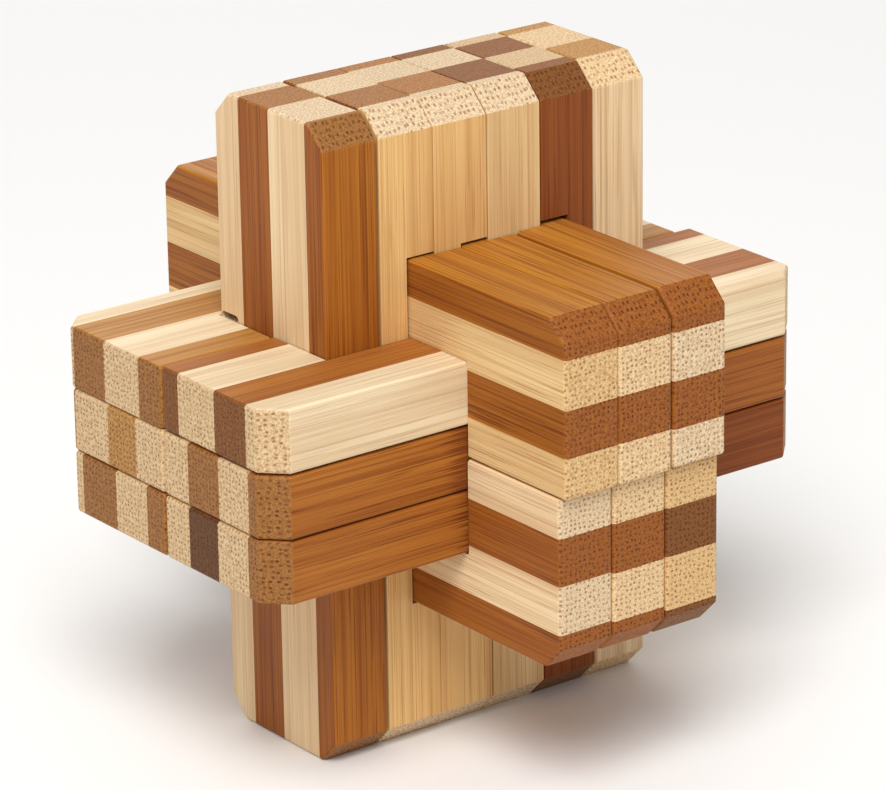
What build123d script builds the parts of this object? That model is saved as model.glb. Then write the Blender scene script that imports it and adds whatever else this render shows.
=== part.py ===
from build123d import *
import os

# An eighteen-bar burr puzzle. Three bundles of six equal bars cross at right angles: the
# cross bars run left to right (X), the through bars run front to back (Y) and the uprights
# stand side by side (Z). Every bar is a blank of four glued bamboo strips, pale and dark in
# turn, so each bar makes two nodes, one with its pale strips and one with its dark strips.

# Bars, in millimetres
bar_length = 70.0
bar_width = 18.85
bar_thickness = 6.85
end_chamfer = 2.5
edge_radius = 0.4            # sanded edges of the bars
inner_edge_radius = 0.12     # the four inner uprights are hardly sanded: their row looks closed

# Fits
play = 0.15                  # gap between two bars that lie side by side, and in every notch
lie = play * 2 / 3           # how far a loose bar has settled sideways within its play

# Differences of single bars
lower_row_setback = 1.0      # the lower through bars end this much short at the front
top_rear_setback = 1.6       # the top rear cross bar ends this much short at the right
nick_inset = 0.4             # rounded nick in the left key's outer face, near its rear edge
nick_length = 2.95
nick_height = 0.45
nick_depth = 3.0

# The module that the bars are set out on: each bar lies half the play inside its cell
layer = bar_thickness + play
row = bar_width + play
middle = bar_length / 2

RIGHT = Vector(1, 0, 0)
REAR = Vector(0, 1, 0)
UP = Vector(0, 0, 1)
LEFT = RIGHT * -1
FRONT = REAR * -1
DOWN = UP * -1

# How far the bundles reach from the middle of the puzzle, and a length past every bar's end
cross_half_height = 1.5 * layer
upright_half_width = 3 * layer
past_end = bar_length


def passage(x_span, y_span, z_span, headroom=0.0):
    """Room for crossing bars: the cells they fill, and half the play on every side.

    The spans are measured from the middle of the puzzle; headroom is added at the top.
    """
    spans = (x_span, y_span, z_span)
    low_corner = [span[0] - play / 2 for span in spans]
    size_x, size_y, size_z = [span[1] - span[0] + play for span in spans]
    with BuildPart(Plane(UP * middle + Vector(*low_corner))) as room:
        Box(size_x, size_y, size_z + headroom, align=Align.MIN)
    return room.part


def left_key_nick():
    """Slot that shows on the left key's outer face, just above the top rear cross bar."""
    rear_edge = LEFT * upright_half_width + REAR * (row / 2) + UP * (middle + cross_half_height)
    centre = rear_edge + FRONT * (nick_inset + nick_length / 2)
    with BuildPart() as slot:
        with BuildSketch(Plane(centre, x_dir=FRONT, z_dir=RIGHT)):
            SlotOverall(nick_length, 2 * nick_height)
        extrude(amount=play / 2 + nick_depth)
    return slot.part


def sawn_blank(plane, chamfer_both_edges, radius, setbacks, cuts):
    """One whole bar: chamfered ends, eased edges, and the notches for its crossing bars.

    In the bar's plane, x runs across its strips, y runs along it and z runs through it.
    Its ends are chamfered at the +x edge, or at both edges.
    """
    near_setback, far_setback = setbacks
    with BuildPart() as blank:
        with BuildSketch(plane) as outline:
            with Locations((0, (near_setback - far_setback) / 2)):
                Rectangle(bar_width, bar_length - near_setback - far_setback)
            corners = outline.vertices().sort_by(Axis.X)
            chamfer(corners if chamfer_both_edges else corners[-2:], end_chamfer)
        extrude(amount=bar_thickness / 2, both=True)
        fillet(blank.edges(), radius)
        for cut in cuts:
            add(cut, mode=Mode.SUBTRACT)
    return blank.part


def make_bar(name, centre, across, along, first_tone, glue_lines, cuts,
             chamfer_both_edges=False, radius=edge_radius, setbacks=(0, 0)):
    """Make one bar and write its pale strips and its dark strips.

    across points over the four strips, from the one with the first tone. glue_lines are
    how far the three joints lie from the edge that across starts at, as shares of the
    width. setbacks are how much the bar's two ends are short, the end at -along first.
    """
    plane = Plane(centre, x_dir=across, z_dir=across.cross(along))
    blank = sawn_blank(plane, chamfer_both_edges, radius, setbacks, cuts)
    borders = [share * bar_width for share in (0, *glue_lines, 1)]
    tones = ("pale", "dark") if first_tone == "pale" else ("dark", "pale")
    for first_strip, tone in enumerate(tones):
        with BuildPart() as pieces:
            with BuildSketch(plane):
                for strip in (first_strip, first_strip + 2):
                    start, end = borders[strip], borders[strip + 1]
                    with Locations(((start + end - bar_width) / 2, 0)):
                        Rectangle(end - start, 2 * past_end)
            extrude(amount=bar_thickness, both=True)
            add(blank, mode=Mode.INTERSECT)
        pieces.part.label = f"{name}_{tone}"
        export_step(pieces.part, f"parts/{name}_{tone}.step")


def make_cross_bars():
    """Six bars along X: a front one and a rear one in each of three layers.

    Their inner edges are notched to half their width, over the whole row of uprights.
    """
    slab = passage((-upright_half_width, upright_half_width), (-row / 2, row / 2),
                   (-past_end, past_end))
    bars = [
        # name, layer, side, tone at the inner edge, glue lines, setbacks, settled by
        ("top_rear", 1, REAR, "dark", (0.207, 0.541, 0.844), (0, top_rear_setback), REAR + DOWN),
        ("top_front", 1, FRONT, "dark", (0.154, 0.493, 0.780), (0, 0), FRONT + UP),
        ("middle_rear", 0, REAR, "pale", (0.260, 0.531, 0.854), (0, 0), Vector()),
        ("middle_front", 0, FRONT, "pale", (0.233, 0.520, 0.796), (0, 0), Vector()),
        ("bottom_rear", -1, REAR, "dark", (0.170, 0.472, 0.801), (0, 0), Vector()),
        ("bottom_front", -1, FRONT, "pale", (0.228, 0.499, 0.780), (0, 0), Vector()),
    ]
    for name, level, side, tone, glue_lines, setbacks, settled in bars:
        centre = UP * (middle + level * layer) + side * (row / 2) + settled * lie
        make_bar(f"cross_{name}", centre, side, RIGHT, tone, glue_lines, [slab],
                 setbacks=setbacks)


def make_through_bars():
    """Six bars along Y: an upper one and a lower one in each of three columns.

    Their inner edges are notched for the webs of the cross bars, and one flat face is
    lapped to half its thickness for the upright that passes there.
    """
    webs = [passage((-past_end, past_end), y_span, (-cross_half_height, cross_half_height))
            for y_span in ((-row, -row / 2), (row / 2, row))]
    bars = [
        # name, column, side, start of the lap, glue lines from the inner edge, settled by
        ("upper_left", -1, UP, -layer, (0.239, 0.509, 0.790), RIGHT),
        ("upper_middle", 0, UP, 0, (0.239, 0.509, 0.785), Vector()),
        ("upper_right", 1, UP, layer / 2, (0.223, 0.499, 0.775), RIGHT + UP),
        ("lower_left", -1, DOWN, -layer, (0.223, 0.499, 0.780), Vector()),
        ("lower_middle", 0, DOWN, 0, (0.228, 0.515, 0.796), Vector()),
        ("lower_right", 1, DOWN, layer / 2, (0.233, 0.515, 0.828), Vector()),
    ]
    for name, column, side, lap_start, glue_lines, settled in bars:
        lap = passage((lap_start, lap_start + layer / 2), (-row / 2, row / 2),
                      (-past_end, past_end))
        centre = UP * middle + RIGHT * (column * layer) + side * (row / 2) + settled * lie
        front_setback = lower_row_setback if side == DOWN else 0
        make_bar(f"through_{name}", centre, side, REAR, "pale", glue_lines, [*webs, lap],
                 setbacks=(front_setback, 0))


def make_uprights():
    """Six bars along Z, side by side: three plain keys, and three lapped for through bars."""
    def lap(start, headroom):
        return passage((start, start + layer / 2), (-past_end, past_end), (-row, row), headroom)

    bars = [
        # name, tone at the rear edge, glue lines, settled by, cuts
        ("key_left", "pale", (0.228, 0.509, 0.844), Vector(), [left_key_nick()]),
        ("upright_2", "dark", (0.244, 0.525, 0.812), RIGHT, [lap(-1.5 * layer, headroom=0.1)]),
        ("upright_3", "dark", (0.228, 0.499, 0.790), Vector(), [lap(-0.5 * layer, headroom=0.2)]),
        ("key_middle", "dark", (0.228, 0.499, 0.812), Vector(), []),
        ("upright_5", "pale", (0.233, 0.499, 0.764), Vector(), [lap(layer, headroom=0.4)]),
        ("key_right", "dark", (0.228, 0.568, 0.838), Vector(), []),
    ]
    for index, (name, tone, glue_lines, settled, cuts) in enumerate(bars):
        left_face = index * layer - upright_half_width
        centre = UP * middle + RIGHT * (left_face + layer / 2) + settled * lie
        outermost = index in (0, len(bars) - 1)
        make_bar(name, centre, FRONT, UP, tone, glue_lines, cuts, chamfer_both_edges=True,
                 radius=edge_radius if outermost else inner_edge_radius)


os.makedirs("parts", exist_ok=True)
make_cross_bars()
make_through_bars()
make_uprights()
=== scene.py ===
import math

import bmesh
import bpy
from bpy.props import FloatProperty, FloatVectorProperty, PointerProperty
from bpy.types import Operator, Panel, PropertyGroup
from mathutils import Matrix, Vector


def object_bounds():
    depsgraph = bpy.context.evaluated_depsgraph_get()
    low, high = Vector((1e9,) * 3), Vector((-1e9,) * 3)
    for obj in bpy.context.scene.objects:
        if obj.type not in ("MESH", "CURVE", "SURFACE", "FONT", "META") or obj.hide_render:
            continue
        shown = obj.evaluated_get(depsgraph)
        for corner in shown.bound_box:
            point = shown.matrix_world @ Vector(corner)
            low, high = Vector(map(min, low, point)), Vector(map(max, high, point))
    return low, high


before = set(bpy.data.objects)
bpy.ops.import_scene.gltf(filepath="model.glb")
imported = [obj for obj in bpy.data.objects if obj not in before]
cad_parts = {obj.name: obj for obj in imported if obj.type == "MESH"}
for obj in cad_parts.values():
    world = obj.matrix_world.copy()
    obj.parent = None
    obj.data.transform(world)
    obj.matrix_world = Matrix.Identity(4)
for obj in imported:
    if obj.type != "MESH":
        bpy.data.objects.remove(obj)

bl_info = {
    "name": "Bamboo Burr Puzzle",
    "version": (1, 0, 0),
    "blender": (4, 5, 0),
    "location": "View3D > Sidebar > Burr Puzzle",
    "description": "Finishes the bars of a burr puzzle as laminated bamboo and sets up "
                   "a small studio",
    "category": "Object",
}

MM_PER_M = 1000.0
CAD_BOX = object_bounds()


def linear(hex_colour):
    """A colour written as sRGB hex, such as #EBD2AB, as linear red, green and blue."""
    channels = [int(hex_colour[i:i + 2], 16) / 255 for i in (1, 3, 5)]
    return tuple(c / 12.92 if c <= 0.04045 else ((c + 0.055) / 1.055) ** 2.4 for c in channels)


def shaded(colour, light):
    """The same wood where less light comes back: blue is lost first and red last."""
    red, green, blue = colour
    return (red * light, green * light ** 1.6, blue * light ** 2.1, 1)


class BambooColours(PropertyGroup):
    """Colours of the strips along the grain, and of the ground between the dots on sawn ends."""

    ivory_face: FloatVectorProperty(
        name="Ivory, along the grain", description="Whitest natural strips",
        subtype="COLOR", min=0, max=1, default=linear("#E9D4AF"))
    cream_face: FloatVectorProperty(
        name="Cream, along the grain", description="Pale natural strips",
        subtype="COLOR", min=0, max=1, default=linear("#E8CBA0"))
    straw_face: FloatVectorProperty(
        name="Straw, along the grain", description="Natural strips with a yellow cast",
        subtype="COLOR", min=0, max=1, default=linear("#E4C28B"))
    honey_face: FloatVectorProperty(
        name="Honey, along the grain", description="Golden natural strips",
        subtype="COLOR", min=0, max=1, default=linear("#E3B777"))
    tan_face: FloatVectorProperty(
        name="Tan, along the grain", description="Strips that were steamed for a short time",
        subtype="COLOR", min=0, max=1, default=linear("#B9823A"))
    hazel_face: FloatVectorProperty(
        name="Hazel, along the grain", description="Carbonised strips, light brown",
        subtype="COLOR", min=0, max=1, default=linear("#AA6723"))
    toffee_face: FloatVectorProperty(
        name="Toffee, along the grain", description="Carbonised strips with an orange cast",
        subtype="COLOR", min=0, max=1, default=linear("#A05E16"))
    chestnut_face: FloatVectorProperty(
        name="Chestnut, along the grain", description="Carbonised strips, medium brown",
        subtype="COLOR", min=0, max=1, default=linear("#9E5A17"))
    russet_face: FloatVectorProperty(
        name="Russet, along the grain", description="Carbonised strips, dark reddish brown",
        subtype="COLOR", min=0, max=1, default=linear("#8B4813"))
    ivory_end: FloatVectorProperty(
        name="Ivory, end grain", description="Whitest natural strips",
        subtype="COLOR", min=0, max=1, default=linear("#DEC5A0"))
    cream_end: FloatVectorProperty(
        name="Cream, end grain", description="Pale natural strips",
        subtype="COLOR", min=0, max=1, default=linear("#E2C395"))
    wheat_end: FloatVectorProperty(
        name="Wheat, end grain", description="Natural strips that have darkened",
        subtype="COLOR", min=0, max=1, default=linear("#D3B58A"))
    honey_end: FloatVectorProperty(
        name="Honey, end grain", description="Golden natural strips",
        subtype="COLOR", min=0, max=1, default=linear("#DAB680"))
    tan_end: FloatVectorProperty(
        name="Tan, end grain", description="Strips that were steamed for a short time",
        subtype="COLOR", min=0, max=1, default=linear("#B58647"))
    chestnut_end: FloatVectorProperty(
        name="Chestnut, end grain", description="Carbonised strips, medium brown",
        subtype="COLOR", min=0, max=1, default=linear("#9A6834"))
    toffee_end: FloatVectorProperty(
        name="Toffee, end grain", description="Carbonised strips with an orange cast",
        subtype="COLOR", min=0, max=1, default=linear("#995920"))
    russet_end: FloatVectorProperty(
        name="Russet, end grain", description="Carbonised strips, dark reddish brown",
        subtype="COLOR", min=0, max=1, default=linear("#804F21"))
    umber_end: FloatVectorProperty(
        name="Umber, end grain", description="The darkest carbonised strips",
        subtype="COLOR", min=0, max=1, default=linear("#643D1D"))


class BambooGrain(PropertyGroup):
    """Sizes of the grain, in millimetres."""

    bundle_spacing: FloatProperty(
        name="Bundle spacing (mm)", description="Distance between fibre bundles on a sawn end",
        min=0.2, max=2.0, default=0.60)
    bundle_width: FloatProperty(
        name="Bundle width (mm)", description="Width of one fibre bundle on a sawn end",
        min=0.05, max=1.0, default=0.27)
    fibre_width: FloatProperty(
        name="Fibre width (mm)", description="Width of the finest lines along the grain",
        min=0.05, max=1.0, default=0.16)
    streak_width: FloatProperty(
        name="Streak width (mm)", description="Width of the streaks of deeper colour",
        min=0.2, max=5.0, default=0.7)
    wander: FloatProperty(
        name="Wander (mm)", description="How far a bundle strays from a straight line",
        min=0.0, max=2.0, default=0.12)
    fleck_length: FloatProperty(
        name="Fleck length (mm)", description="Length of the small brown flecks",
        min=0.2, max=10.0, default=1.3)


class StudioSettings(PropertyGroup):
    """Camera and lights."""

    azimuth: FloatProperty(
        name="Azimuth", description="Camera's turn about the puzzle from straight in front",
        subtype="ANGLE", default=math.radians(-37.1))
    elevation: FloatProperty(
        name="Elevation", description="Camera's height above the horizon",
        subtype="ANGLE", default=math.radians(20.2))
    roll: FloatProperty(
        name="Roll", description="Tilt of the camera about its line of sight",
        subtype="ANGLE", default=math.radians(-0.87))
    distance: FloatProperty(
        name="Distance", description="From the camera to the middle of the puzzle",
        unit="LENGTH", default=0.5232)
    aim_right: FloatProperty(
        name="Aim right", description="How far right of the middle the camera aims",
        unit="LENGTH", default=0.00077)
    aim_up: FloatProperty(
        name="Aim up", description="How far above the middle the camera aims",
        unit="LENGTH", default=-0.00083)
    focal_length: FloatProperty(
        name="Focal length (mm)", description="On a sensor 36 mm wide", default=200.2)
    floor_colour: FloatVectorProperty(
        name="Floor", description="Matt white paper sweep",
        subtype="COLOR", min=0, max=1, default=linear("#F1F0EE"))
    sky_strength: FloatProperty(
        name="Room light", description="Even light from all round", min=0, default=0.50)


# ---------------------------------------------------------------------------- materials

# Which object axis lies along the fibres, across the strips and through the bar
CROSS_AXES = "XYZ"
THROUGH_AXES = "YZX"
UPRIGHT_AXES = "ZYX"

# How much darker the fibres are than the wood around them
NATURAL_CONTRAST = 0.68
CARBONISED_CONTRAST = 1.0

DOT_STRENGTH = 0.85          # of the bundles on a sawn end
OUTERMOST_STRIP = 13.0       # mm from the middle to where a cross bar's outermost strip starts

# Which part of a bar a surface is, by how far it faces along the fibres or across the strips:
# from the first value, where the part fades in, to the second, where it is whole
END_FACING = (0.30, 0.60)
FLAT_END_FACING = (0.85, 0.97)
# Faces across the strips, and the long edges turning to them, which get painted light
PAINTED_LIGHT_FACING = (0.45, 0.80)

NO_CHANGE = (1, 1, 1, 1)     # a tint that leaves a colour as it is

# How much of its dots a flat end still shows
FAINT_DOTS = 0.55
CLEARER_DOTS = 0.7


def add_node(tree, kind, inputs, **settings):
    """Add a node with its settings. inputs gives each socket a value or a socket to link from."""
    node = tree.nodes.new(kind)
    for name, value in settings.items():
        setattr(node, name, value)
    for socket, value in inputs.items():
        if isinstance(value, bpy.types.NodeSocket):
            tree.links.new(value, node.inputs[socket])
        else:
            node.inputs[socket].default_value = value
    return node


def make_bamboo(name, axes, contrast, face, end, lines=0.5, across_painted_light=1.0, outer_end=None,
                flat_end_painted_light_and_dots=(1.0, 1.0), flecks=0.0, scorch=None, uneven=None):
    """Bamboo strip, planed and sanded, without varnish.

    The fibre bundles run the whole length of a strip. On a sawn end they show as brown dots
    in a paler ground, and on the long sides as thin straight lines that fade in and out, so
    both come from one pattern that lies across the bar.

    face, end: names of the tones along the grain and on the sawn ends.
    contrast: how much darker the fibres are than the rest.
    lines: how strongly the fibres show as lines.
    across_painted_light: painted light, how much lighter the strip is drawn on the faces that
    point across the strips and on the long edges turning to them.
    outer_end: end tone of a cross bar's outermost strip, where it differs.
    flat_end_painted_light_and_dots: painted sheen, how much lighter a flat end is drawn than its
    chamfers, and how much of its dots show.
    flecks: how many small brown flecks there are.
    scorch: where along the bar, in mm, a dark burn starts and where it is darkest.
    uneven: where along the bar, in mm, it starts to darken, where it is darkest, and how
        much light comes back from it there.
    """
    colours = bpy.context.scene.burr_colours
    grain = bpy.context.scene.burr_grain
    face = tuple(getattr(colours, f"{face}_face"))
    end = tuple(getattr(colours, f"{end}_end"))

    material = bpy.data.materials.new(name)
    material.use_nodes = True
    tree = material.node_tree
    tree.nodes.clear()

    # Millimetres along the fibres, across the strips and through the bar
    coordinates = add_node(tree, "ShaderNodeTexCoord", {})
    millimetres = add_node(tree, "ShaderNodeMapping", {
        "Vector": coordinates.outputs["Object"], "Scale": (MM_PER_M,) * 3})
    place = add_node(tree, "ShaderNodeSeparateXYZ", {"Vector": millimetres.outputs["Vector"]})
    along, across, through = [place.outputs[axis] for axis in axes]
    bar = add_node(tree, "ShaderNodeCombineXYZ", {"X": along, "Y": across, "Z": through})

    def drawn_out(length, width, detail, roughness=0.5):
        """Noise whose grains are this long along the fibres and this wide across them."""
        stretched = add_node(tree, "ShaderNodeVectorMath", {
            0: bar.outputs["Vector"], 1: (1 / length, 1 / width, 1 / width)}, operation="MULTIPLY")
        return add_node(tree, "ShaderNodeTexNoise", {
            "Vector": stretched.outputs["Vector"], "Scale": 1.0, "Detail": detail,
            "Roughness": roughness}, noise_dimensions="3D")

    def remap(value, low, high, to_low=0.0, to_high=1.0):
        """Smooth step of a value from low to high."""
        step = add_node(tree, "ShaderNodeMapRange", {
            "Value": value, "From Min": low, "From Max": high,
            "To Min": to_low, "To Max": to_high}, interpolation_type="SMOOTHSTEP")
        return step.outputs["Result"]

    def maths(operation, first, second=0.0):
        return add_node(tree, "ShaderNodeMath", {0: first, 1: second},
                        operation=operation).outputs["Value"]

    def mixed(factor, first, second):
        blended = add_node(tree, "ShaderNodeMix", {0: factor, 6: first, 7: second},
                           data_type="RGBA")
        return blended.outputs[2]

    def tinted(colour, tint):
        return add_node(tree, "ShaderNodeVectorMath", {0: colour, 1: tint},
                        operation="MULTIPLY").outputs["Vector"]

    def fibre_tone(light):
        """The face's colour where its fibres darken it, more in some strips than in others."""
        return shaded(face, 1 - contrast * (1 - light))

    # Pith between the bundles: a fine crumb
    pith = add_node(tree, "ShaderNodeTexNoise", {
        "Vector": bar.outputs["Vector"], "Scale": 5.5, "Detail": 1.0,
        "Roughness": 0.6}, noise_dimensions="3D").outputs["Fac"]

    # Fibre bundles: cells across the bar, drawn out along it, and straying a little
    stray = drawn_out(45.0, 4.0, detail=1.0)
    section = add_node(tree, "ShaderNodeCombineXYZ", {"X": across, "Y": through})
    strayed = add_node(tree, "ShaderNodeVectorMath", {
        0: stray.outputs["Color"], 1: (2 * grain.wander,) * 3, 2: section.outputs["Vector"]},
        operation="MULTIPLY_ADD")
    bundles = add_node(tree, "ShaderNodeTexVoronoi", {
        "Vector": strayed.outputs["Vector"], "Scale": 1 / grain.bundle_spacing,
        "Randomness": 0.52}, voronoi_dimensions="2D", feature="F1")
    radius = grain.bundle_width / (2 * grain.bundle_spacing)
    each_bundle = add_node(tree, "ShaderNodeSeparateColor", {
        "Color": bundles.outputs["Color"]})
    depth_of_bundle = remap(each_bundle.outputs["Red"], 0.0, 1.0, 0.7, 1.0)
    whole_bundle = maths("MULTIPLY", depth_of_bundle,
                         remap(bundles.outputs["Distance"], radius * 1.4, radius * 0.6))

    # Long sides: fine fibres, dashes, streaks of deeper colour, and the bundles as lines
    fibres = drawn_out(40.0, grain.fibre_width, detail=2.0, roughness=0.6).outputs["Fac"]
    dashes = drawn_out(13.0, grain.fibre_width, detail=1.0).outputs["Fac"]
    streaks = drawn_out(60.0, grain.streak_width, detail=2.0).outputs["Fac"]
    patches = drawn_out(26.0, 5.0, detail=1.0).outputs["Fac"]
    fading = drawn_out(14.0, 0.8, detail=0.0).outputs["Fac"]
    line = maths("MULTIPLY", whole_bundle, remap(fading, 0.38, 0.62, 0.15, 1.0))
    face_colour = mixed(remap(patches, 0.3, 0.7), shaded(face, 1.05), shaded(face, 0.93))
    face_colour = mixed(remap(streaks, 0.42, 0.72, 0.0, 0.35 + 0.45 * lines),
                        face_colour, fibre_tone(0.70))
    face_colour = mixed(remap(fibres, 0.46, 0.70, 0.0, 0.2 + 0.6 * lines),
                        face_colour, fibre_tone(0.55))
    face_colour = mixed(remap(dashes, 0.60, 0.72, 0.0, 0.15 + 0.7 * lines),
                        face_colour, fibre_tone(0.35))
    face_colour = mixed(maths("MULTIPLY", line, 0.9 * lines), face_colour, fibre_tone(0.45))

    # Painted light: faces that point across the strips, and long edges turning to them, are drawn
    # lighter
    normal = add_node(tree, "ShaderNodeSeparateXYZ", {"Vector": coordinates.outputs["Normal"]})
    painted_light_sides = remap(maths("ABSOLUTE", normal.outputs[axes[1]]), *PAINTED_LIGHT_FACING)
    face_colour = tinted(face_colour, mixed(painted_light_sides, NO_CHANGE, shaded((1, 1, 1), across_painted_light)))
    # On the through bars these painted-light faces are the tops and bottoms

    if uneven:
        start, darkest, light = uneven
        face_colour = tinted(face_colour, mixed(remap(along, start, darkest), NO_CHANGE,
                                                shaded((1, 1, 1), light)))

    # Sawn ends: the bundles as ragged dots, stronger in some places than in others
    ragged_distance = maths("ADD", bundles.outputs["Distance"],
                            maths("MULTIPLY", maths("SUBTRACT", pith, 0.5), 0.14))
    dot = maths("MULTIPLY", depth_of_bundle, remap(ragged_distance, radius * 1.35, radius * 0.7))
    blotches = add_node(tree, "ShaderNodeTexNoise", {
        "Vector": bar.outputs["Vector"], "Scale": 0.5, "Detail": 1.0},
        noise_dimensions="3D").outputs["Fac"]
    dot = maths("MULTIPLY", dot,
                remap(blotches, 0.35, 0.65, 0.65 * DOT_STRENGTH, DOT_STRENGTH))
    flat_end_painted_light, flat_dots = flat_end_painted_light_and_dots
    across_fibres = maths("ABSOLUTE", normal.outputs[axes[0]])
    dot = maths("MULTIPLY", dot, remap(across_fibres, *FLAT_END_FACING, 1.0, flat_dots))

    def sawn_end(ground):
        crumb = mixed(remap(pith, 0.34, 0.66), shaded(ground, 1.08),
                      shaded(ground, 0.92 - 0.2 * contrast))
        return mixed(dot, crumb, shaded(ground, 0.62 - 0.38 * contrast))

    end_colour = sawn_end(end)
    if outer_end:
        is_outermost = maths("GREATER_THAN", maths("ABSOLUTE", across), OUTERMOST_STRIP)
        outer_ground = tuple(getattr(colours, f"{outer_end}_end"))
        end_colour = mixed(is_outermost, end_colour, sawn_end(outer_ground))
    # Painted sheen: a flat end is drawn lighter than its chamfers (a few pale ones a little
    # darker)
    is_flat = remap(across_fibres, *FLAT_END_FACING)
    end_colour = tinted(end_colour, mixed(is_flat, NO_CHANGE, (*(flat_end_painted_light,) * 3, 1)))

    # The ends are where the surface turns across the fibres, the chamfers among them
    is_end = remap(across_fibres, *END_FACING)
    colour = mixed(is_end, face_colour, end_colour)

    if flecks:
        fleck_cells = add_node(tree, "ShaderNodeVectorMath", {
            0: bar.outputs["Vector"],
            1: (1 / (4 * grain.fleck_length), 0.7, 0.7)}, operation="MULTIPLY")
        fleck = add_node(tree, "ShaderNodeTexVoronoi", {
            "Vector": fleck_cells.outputs["Vector"], "Scale": 1.0,
            "Randomness": 1.0}, voronoi_dimensions="3D", feature="F1")
        chosen = add_node(tree, "ShaderNodeSeparateColor", {"Color": fleck.outputs["Color"]})
        mask = maths("MULTIPLY", remap(fleck.outputs["Distance"], 0.14, 0.06),
                     maths("LESS_THAN", chosen.outputs["Green"], flecks))
        colour = mixed(maths("MULTIPLY", mask, 0.6), colour, shaded(face, 0.45))

    if scorch:
        start, darkest = scorch
        ragged = maths("ADD", along, maths("MULTIPLY", maths("SUBTRACT", dashes, 0.5), 9.0))
        burnt = maths("MULTIPLY", remap(ragged, start, darkest), maths("LESS_THAN", along, 0.0))
        colour = mixed(maths("MULTIPLY", burnt, 0.85), colour, shaded(face, 0.34))

    # Bundles stand slightly below a sanded end; fibres leave fine ridges along the sides
    ridges = maths("MULTIPLY", fibres, maths("SUBTRACT", 1.0, is_end))
    pits = maths("MULTIPLY", dot, maths("MULTIPLY", is_end, -0.8))
    relief = add_node(tree, "ShaderNodeBump", {
        "Height": maths("ADD", ridges, pits), "Distance": 0.00008, "Strength": 0.6})
    roughness = maths("ADD", remap(streaks, 0.3, 0.8, 0.50, 0.60), maths("MULTIPLY", is_end, 0.1))

    surface = add_node(tree, "ShaderNodeBsdfPrincipled", {
        "Base Color": colour, "Roughness": roughness, "Normal": relief.outputs["Normal"],
        "IOR": 1.5, "Specular IOR Level": 0.22,
        "Sheen Weight": 0.12, "Sheen Roughness": 0.4, "Sheen Tint": (1, 0.82, 0.6, 1)})
    add_node(tree, "ShaderNodeOutputMaterial", {"Surface": surface.outputs["BSDF"]})
    return material


def finish_bar(bar, axes, pale, dark):
    """Give a bar's pale strips and dark strips their bamboo."""
    for kind, look in (("pale", pale), ("dark", dark)):
        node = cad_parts[f"{bar}_{kind}"]
        if kind == "pale":
            process, contrast = "natural", NATURAL_CONTRAST
        else:
            process, contrast = "carbonised", CARBONISED_CONTRAST
        material = make_bamboo(f"{process} bamboo, {bar.replace('_', ' ')}", axes, contrast,
                               **look)
        for material_slot in node.material_slots:
            material_slot.material = material


class BURR_OT_finish_cross_bars(Operator):
    """Finish the six bars that run from left to right"""

    bl_idname = "burr.finish_cross_bars"
    bl_label = "Finish Cross Bars"

    def execute(self, context):
        finish_bar("cross_top_front", CROSS_AXES, dict(face="ivory", end="wheat", lines=0.45),
                   dict(face="hazel", end="russet", lines=0.6))
        finish_bar("cross_top_rear", CROSS_AXES, dict(face="ivory", end="wheat", lines=0.45),
                   dict(face="tan", end="chestnut", lines=0.7))
        finish_bar("cross_middle_front", CROSS_AXES, dict(face="cream", end="wheat", lines=0.4),
                   dict(face="hazel", end="chestnut", lines=0.95, scorch=(-13.5, -10.8),
                        uneven=(-5.0, 15.0, 0.88)))
        finish_bar("cross_middle_rear", CROSS_AXES, dict(face="straw", end="wheat", lines=0.4),
                   dict(face="tan", end="tan", lines=0.6))
        finish_bar("cross_bottom_front", CROSS_AXES, dict(face="straw", end="wheat", lines=0.4),
                   dict(face="hazel", end="umber", outer_end="chestnut", lines=0.9,
                        scorch=(-12.0, -9.5), uneven=(-5.0, 15.0, 0.58)))
        finish_bar("cross_bottom_rear", CROSS_AXES, dict(face="cream", end="wheat", lines=0.4),
                   dict(face="chestnut", end="chestnut", lines=0.6, across_painted_light=1.2))
        return {"FINISHED"}


class BURR_OT_finish_through_bars(Operator):
    """Finish the six bars that run from front to back"""

    bl_idname = "burr.finish_through_bars"
    bl_label = "Finish Through Bars"

    def execute(self, context):
        # The dark strips' tops and bottoms are drawn lighter than their sides: painted light
        toffee = dict(face="toffee", end="toffee", lines=0.95, across_painted_light=1.38)
        finish_bar("through_upper_left", THROUGH_AXES,
                   dict(face="straw", end="honey", lines=0.9), toffee)
        finish_bar("through_upper_middle", THROUGH_AXES,
                   dict(face="cream", end="cream", lines=0.8), toffee)
        finish_bar("through_upper_right", THROUGH_AXES,
                   dict(face="cream", end="ivory", lines=0.8), toffee)
        finish_bar("through_lower_left", THROUGH_AXES,
                   dict(face="cream", end="ivory", lines=0.85),
                   dict(face="chestnut", end="toffee", lines=0.7, across_painted_light=1.2))
        finish_bar("through_lower_middle", THROUGH_AXES,
                   dict(face="straw", end="cream", lines=0.8),
                   dict(face="chestnut", end="toffee", lines=0.7, across_painted_light=1.2))
        finish_bar("through_lower_right", THROUGH_AXES,
                   dict(face="honey", end="honey", lines=0.5),
                   dict(face="russet", end="russet", lines=0.6))
        return {"FINISHED"}


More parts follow.
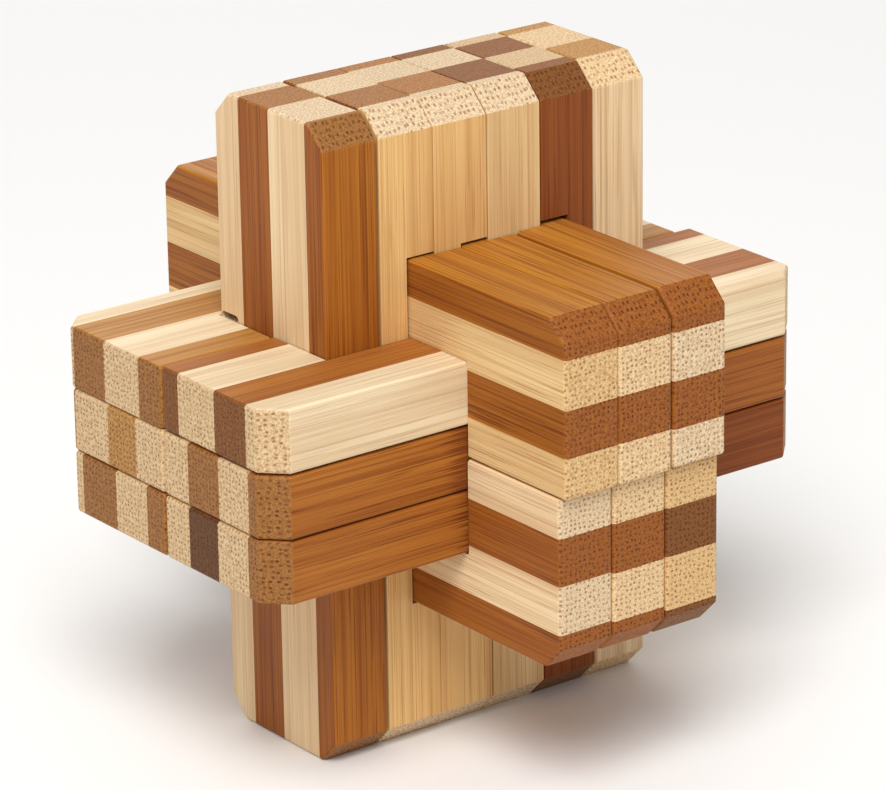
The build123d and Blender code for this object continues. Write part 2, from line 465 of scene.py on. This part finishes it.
class BURR_OT_finish_uprights(Operator):
    """Finish the three upright bars that stay in the puzzle"""

    bl_idname = "burr.finish_uprights"
    bl_label = "Finish Uprights"

    def execute(self, context):
        # Flat ends are drawn lighter or darker than their chamfers: painted sheen
        finish_bar("upright_2", UPRIGHT_AXES,
                   dict(face="honey", end="ivory", lines=0.65, flat_end_painted_light_and_dots=(1.0, FAINT_DOTS)),
                   dict(face="chestnut", end="chestnut", lines=0.6, across_painted_light=1.2,
                        flat_end_painted_light_and_dots=(1.18, CLEARER_DOTS)))
        finish_bar("upright_3", UPRIGHT_AXES,
                   dict(face="honey", end="ivory", lines=0.65, flat_end_painted_light_and_dots=(0.95, FAINT_DOTS)),
                   dict(face="chestnut", end="chestnut", lines=0.6, across_painted_light=1.2,
                        flat_end_painted_light_and_dots=(1.32, CLEARER_DOTS)))
        finish_bar("upright_5", UPRIGHT_AXES,
                   dict(face="cream", end="wheat", lines=0.5, flat_end_painted_light_and_dots=(1.0, FAINT_DOTS)),
                   dict(face="russet", end="russet", lines=0.6, flat_end_painted_light_and_dots=(1.3, CLEARER_DOTS)))
        return {"FINISHED"}


class BURR_OT_finish_keys(Operator):
    """Finish the three plain upright keys"""

    bl_idname = "burr.finish_keys"
    bl_label = "Finish Keys"

    def execute(self, context):
        # Flat ends are drawn lighter or darker than their chamfers: painted sheen
        finish_bar("key_left", UPRIGHT_AXES,
                   dict(face="cream", end="ivory", lines=0.35, flat_end_painted_light_and_dots=(1.0, FAINT_DOTS),
                        flecks=0.02),
                   dict(face="chestnut", end="chestnut", lines=0.75, across_painted_light=1.2,
                        flat_end_painted_light_and_dots=(1.22, CLEARER_DOTS)))
        finish_bar("key_middle", UPRIGHT_AXES,
                   dict(face="straw", end="ivory", lines=0.6, flat_end_painted_light_and_dots=(0.97, FAINT_DOTS),
                        flecks=0.3),
                   dict(face="russet", end="russet", lines=0.6, flat_end_painted_light_and_dots=(1.2, CLEARER_DOTS)))
        finish_bar("key_right", UPRIGHT_AXES,
                   dict(face="cream", end="cream", lines=0.7, flat_end_painted_light_and_dots=(1.0, CLEARER_DOTS)),
                   dict(face="tan", end="tan", lines=0.6, flat_end_painted_light_and_dots=(1.15, CLEARER_DOTS)))
        return {"FINISHED"}


# -------------------------------------------------------------------------------- stage

# Places and sizes are in sides of the puzzle, powers in watts and lengths in millimetres
OVERHEAD_PLACE, OVERHEAD_SIZE, OVERHEAD_POWER = (-5.5, -6, 11), 7, 8.2
BACKDROP_PLACE, BACKDROP_SIZE, BACKDROP_POWER = (6, 10, 4), 10, 2.0
FLOOR_SIZE = 60
SENSOR_WIDTH = 36.0
NEAREST, FURTHEST = 0.01, 100.0      # the camera's range of sight, in metres


def make_paper(colour):
    """White paper from a roll: matt, with no grain that shows."""
    material = bpy.data.materials.new("white paper sweep")
    material.use_nodes = True
    surface = material.node_tree.nodes["Principled BSDF"]
    surface.inputs["Base Color"].default_value = (*colour, 1)
    surface.inputs["Roughness"].default_value = 0.9
    surface.inputs["Specular IOR Level"].default_value = 0.1
    return material


def add_area_light(name, place, target, side, power):
    """A square soft box at place that shines on target."""
    data = bpy.data.lights.new(name, "AREA")
    data.shape = "SQUARE"
    data.size = side
    data.energy = power
    light = bpy.data.objects.new(name, data)
    light.location = place
    light.rotation_euler = (target - place).to_track_quat("-Z", "Y").to_euler()
    light.visible_camera = False
    bpy.context.scene.collection.objects.link(light)


class BURR_OT_set_stage(Operator):
    """Set up the floor, the lights and the camera"""

    bl_idname = "burr.set_stage"
    bl_label = "Set Stage"

    def execute(self, context):
        studio = context.scene.burr_studio
        low, high = [Vector(corner) for corner in CAD_BOX]
        middle = (low + high) / 2
        side = (high - low).x

        mesh = bpy.data.meshes.new("floor")
        sweep = bmesh.new()
        bmesh.ops.create_grid(sweep, x_segments=1, y_segments=1, size=FLOOR_SIZE * side,
                              matrix=Matrix.Translation((0, 0, low.z)))
        sweep.to_mesh(mesh)
        sweep.free()
        floor = bpy.data.objects.new("floor", mesh)
        floor.data.materials.append(make_paper(studio.floor_colour))
        context.scene.collection.objects.link(floor)

        world = bpy.data.worlds.new("room")
        context.scene.world = world
        world.use_nodes = True
        room = world.node_tree.nodes["Background"]
        room.inputs["Color"].default_value = (1, 1, 1, 1)
        room.inputs["Strength"].default_value = studio.sky_strength

        add_area_light("overhead", middle + Vector(OVERHEAD_PLACE) * side, middle,
                       OVERHEAD_SIZE * side, OVERHEAD_POWER)
        add_area_light("backdrop", middle + Vector(BACKDROP_PLACE) * side, middle,
                       BACKDROP_SIZE * side, BACKDROP_POWER)

        towards = Vector((math.sin(studio.azimuth) * math.cos(studio.elevation),
                          -math.cos(studio.azimuth) * math.cos(studio.elevation),
                          math.sin(studio.elevation)))
        right = Vector((math.cos(studio.azimuth), math.sin(studio.azimuth), 0))
        up = towards.cross(right)
        data = bpy.data.cameras.new("camera")
        data.lens = studio.focal_length
        data.sensor_width = SENSOR_WIDTH
        data.clip_start = NEAREST
        data.clip_end = FURTHEST
        camera = bpy.data.objects.new("camera", data)
        turn = Matrix.Rotation(studio.roll, 3, "Z")
        camera.matrix_world = Matrix.Translation(
            middle + towards * studio.distance + right * studio.aim_right + up * studio.aim_up
        ) @ (Matrix((right, up, towards)).transposed() @ turn).to_4x4()
        context.scene.collection.objects.link(camera)
        context.scene.camera = camera
        context.scene.view_settings.view_transform = "Standard"
        return {"FINISHED"}


class BURR_PT_sidebar(Panel):
    """The puzzle's steps, in the 3D view's sidebar"""

    bl_idname = "BURR_PT_sidebar"
    bl_label = "Burr Puzzle"
    bl_space_type = "VIEW_3D"
    bl_region_type = "UI"
    bl_category = "Burr Puzzle"

    def draw(self, context):
        for step in STEPS:
            self.layout.operator(step.bl_idname)
        for settings in (context.scene.burr_grain, context.scene.burr_colours,
                         context.scene.burr_studio):
            box = self.layout.box()
            for name in settings.__annotations__:
                box.prop(settings, name)


SETTINGS = (BambooColours, BambooGrain, StudioSettings)
STEPS = (BURR_OT_finish_cross_bars, BURR_OT_finish_through_bars, BURR_OT_finish_uprights,
         BURR_OT_finish_keys, BURR_OT_set_stage)


def register():
    for cls in (*SETTINGS, *STEPS, BURR_PT_sidebar):
        bpy.utils.register_class(cls)
    bpy.types.Scene.burr_colours = PointerProperty(type=BambooColours)
    bpy.types.Scene.burr_grain = PointerProperty(type=BambooGrain)
    bpy.types.Scene.burr_studio = PointerProperty(type=StudioSettings)


def unregister():
    del bpy.types.Scene.burr_studio
    del bpy.types.Scene.burr_grain
    del bpy.types.Scene.burr_colours
    for cls in reversed((*SETTINGS, *STEPS, BURR_PT_sidebar)):
        bpy.utils.unregister_class(cls)


def main():
    """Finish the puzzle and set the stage."""
    register()
    bpy.ops.burr.finish_cross_bars()
    bpy.ops.burr.finish_through_bars()
    bpy.ops.burr.finish_uprights()
    bpy.ops.burr.finish_keys()
    bpy.ops.burr.set_stage()


if __name__ == "__main__":
    main()
